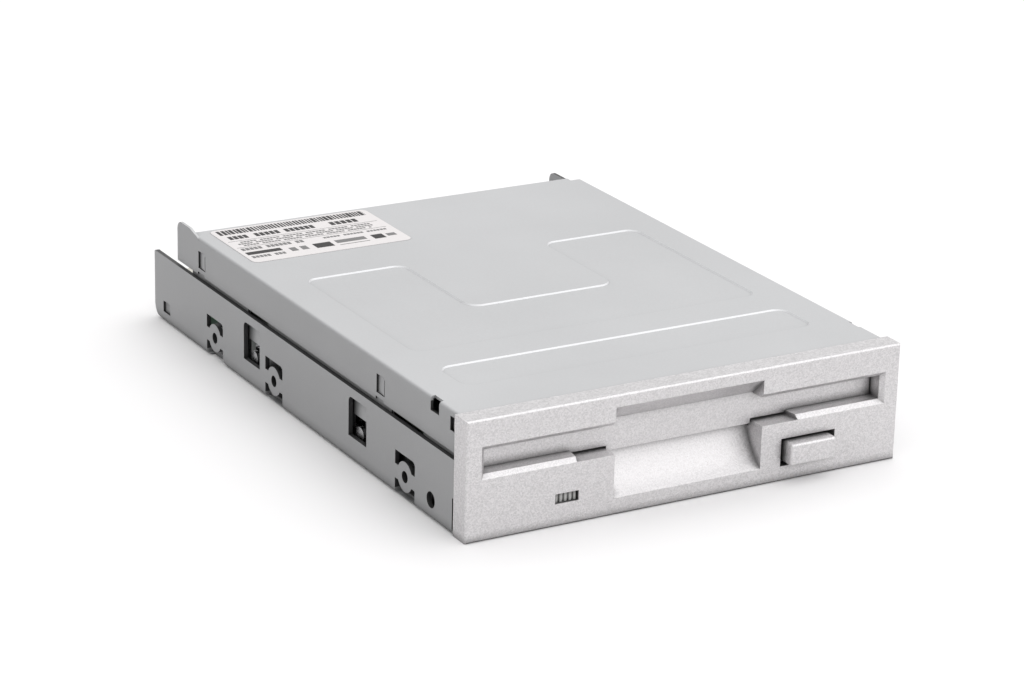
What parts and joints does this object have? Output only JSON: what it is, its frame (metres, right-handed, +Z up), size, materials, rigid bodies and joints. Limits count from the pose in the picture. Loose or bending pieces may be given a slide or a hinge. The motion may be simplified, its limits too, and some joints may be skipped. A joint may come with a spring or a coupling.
{
  "type": "disk drive",
  "caption": "Flat half-height drive for 3.5 inch disks: slotted bezel with thumb recess and eject button, folded sheet frame and lid, and the full moving mechanism inside.",
  "frame": {"origin": "middle of the underside of the whole drive's box, button included", "axes": "+Y to the back, away from the bezel; +Z up; +X to the right as seen from the front"},
  "size_m": [0.1016, 0.1504, 0.0261],
  "materials": {
    "plated_sheet": "matt zinc-plated sheet",
    "inner_sheet": "plain pressed sheet",
    "label": "matt film",
    "silver_plastic": "moulded, silver fleck paint",
    "clear_plastic": "clear ribbed moulding",
    "lamp_body": "tinted clear resin",
    "spring_steel": "bright spring wire and strip",
    "turned_steel": "turned and ground",
    "screw_steel": "plated screws",
    "board": "varnished circuit board",
    "chip": "moulded chip bodies",
    "lamination": "stacked stampings",
    "copper_wire": "enamelled windings",
    "bearing_metal": "sintered sleeve",
    "rotor_steel": "pressed cup",
    "magnet": "bonded magnet ring",
    "hub_metal": "turned",
    "black_plastic": "moulded",
    "pale_plastic": "moulded",
    "grey_moulding": "glass-filled moulding",
    "ceramic": "ground ceramic",
    "motor_case": "drawn case",
    "contact_metal": "plated contacts",
    "ribbon": "flat film cable inside the drive"
  },
  "bodies": {
    "frame": {"main_frame": "plated_sheet", "top_cover": "plated_sheet", "rating_label": "label", "front_bezel": "silver_plastic", "lamp_window": "clear_plastic", "lamp": "lamp_body", "door_spring": "spring_steel", "guide_posts": "turned_steel", "motor_board": "board", "motor_board_screws": "screw_steel", "stator_core": "lamination", "stator_coils": "copper_wire", "spindle_bearing": "bearing_metal", "motor_driver": "chip", "switch_blocks": "black_plastic", "stepper_bracket": "inner_sheet", "bracket_screws": "screw_steel", "stepper_motor": "motor_case", "screw_bearing": "pale_plastic", "guide_rod": "turned_steel", "rod_posts": "grey_moulding", "track_zero_sensor": "chip", "main_board": "board", "main_board_screws": "screw_steel", "controller_chip": "chip", "board_chips": "chip", "board_capacitors": "hub_metal", "board_ribbon": "ribbon", "data_socket": "black_plastic", "data_pins": "contact_metal", "power_socket": "pale_plastic", "power_pins": "contact_metal"},
    "slider": {"eject_slider": "inner_sheet", "eject_button": "silver_plastic", "eject_springs": "spring_steel"},
    "holder": {"disk_holder": "inner_sheet", "holder_pins": "turned_steel", "pressure_springs": "spring_steel", "lever_rivet": "turned_steel", "lever_spring": "spring_steel"},
    "lever": {"shutter_lever": "inner_sheet"},
    "carriage": {"head_carriage": "grey_moulding", "hinge_pin": "turned_steel", "screw_follower": "turned_steel", "lower_head": "ceramic"},
    "arm": {"upper_head_arm": "grey_moulding", "upper_head": "ceramic", "arm_spring": "spring_steel"},
    "screw": {"lead_screw": "turned_steel", "stepper_rotor": "magnet"},
    "spindle": {"spindle_shaft": "turned_steel", "rotor_cup": "rotor_steel", "rotor_magnet": "magnet", "hub_table": "hub_metal", "drive_pin": "turned_steel"},
    "door": {"slot_door": "silver_plastic"},
    "write_protect": {"write_protect_plunger": "pale_plastic"},
    "disk_in": {"disk_in_plunger": "pale_plastic"},
    "density": {"density_plunger": "pale_plastic"}
  },
  "joints": [
    {"name": "eject_slide", "type": "slide", "parent": "frame", "child": "slider", "axis": [0, -1, 0], "range_m": [-0.0005, 0.004]},
    {"name": "holder_drop", "type": "slide", "parent": "frame", "child": "holder", "axis": [0, 0, -1], "range_m": [-0.00035, 0.0028]},
    {"name": "shutter_swing", "type": "hinge", "parent": "holder", "child": "lever", "pos_m": [0.038, 0.0156, 0.0196], "axis": [0, 0, -1], "range_deg": [0, 48], "stiffness_Nm_per_rad": 0.002, "springref_deg": -11.46},
    {"name": "carriage_travel", "type": "slide", "parent": "frame", "child": "carriage", "axis": [0, -1, 0], "range_m": [0, 0.01481]},
    {"name": "head_arm_swing", "type": "hinge", "parent": "carriage", "child": "arm", "pos_m": [0, 0.0461, 0.017], "axis": [1, 0, 0], "range_deg": [-1.25, 9.76]},
    {"name": "lead_screw_spin", "type": "hinge", "parent": "frame", "child": "screw", "pos_m": [0.02, 0.0176, 0.0085], "axis": [0, 1, 0], "range_deg": [0, 1424]},
    {"name": "spindle_spin", "type": "hinge", "parent": "frame", "child": "spindle", "pos_m": [0, -0.0234, 0.008], "axis": [0, 0, 1], "continuous": true},
    {"name": "door_swing", "type": "hinge", "parent": "frame", "child": "door", "pos_m": [0, -0.06745, 0.0196], "axis": [1, 0, 0], "range_deg": [0, 85], "stiffness_Nm_per_rad": 0.0002, "springref_deg": -34.38},
    {"name": "write_protect_press", "type": "slide", "parent": "frame", "child": "write_protect", "axis": [0, 0, -1], "range_m": [0, 0.0012], "stiffness_N_per_m": 100, "springref_m": -0.001},
    {"name": "disk_in_press", "type": "slide", "parent": "frame", "child": "disk_in", "axis": [0, 0, -1], "range_m": [0, 0.0012], "stiffness_N_per_m": 100, "springref_m": -0.001},
    {"name": "density_press", "type": "slide", "parent": "frame", "child": "density", "axis": [0, 0, -1], "range_m": [0, 0.0012], "stiffness_N_per_m": 100, "springref_m": -0.001}
  ],
  "couplings": [
    {"joint": "holder_drop", "follows": "eject_slide", "ratio": 0.7},
    {"joint": "head_arm_swing", "follows": "eject_slide", "rad_per_m": 42.5},
    {"joint": "lead_screw_spin", "follows": "carriage_travel", "rad_per_m": 1675.5}
  ]
}
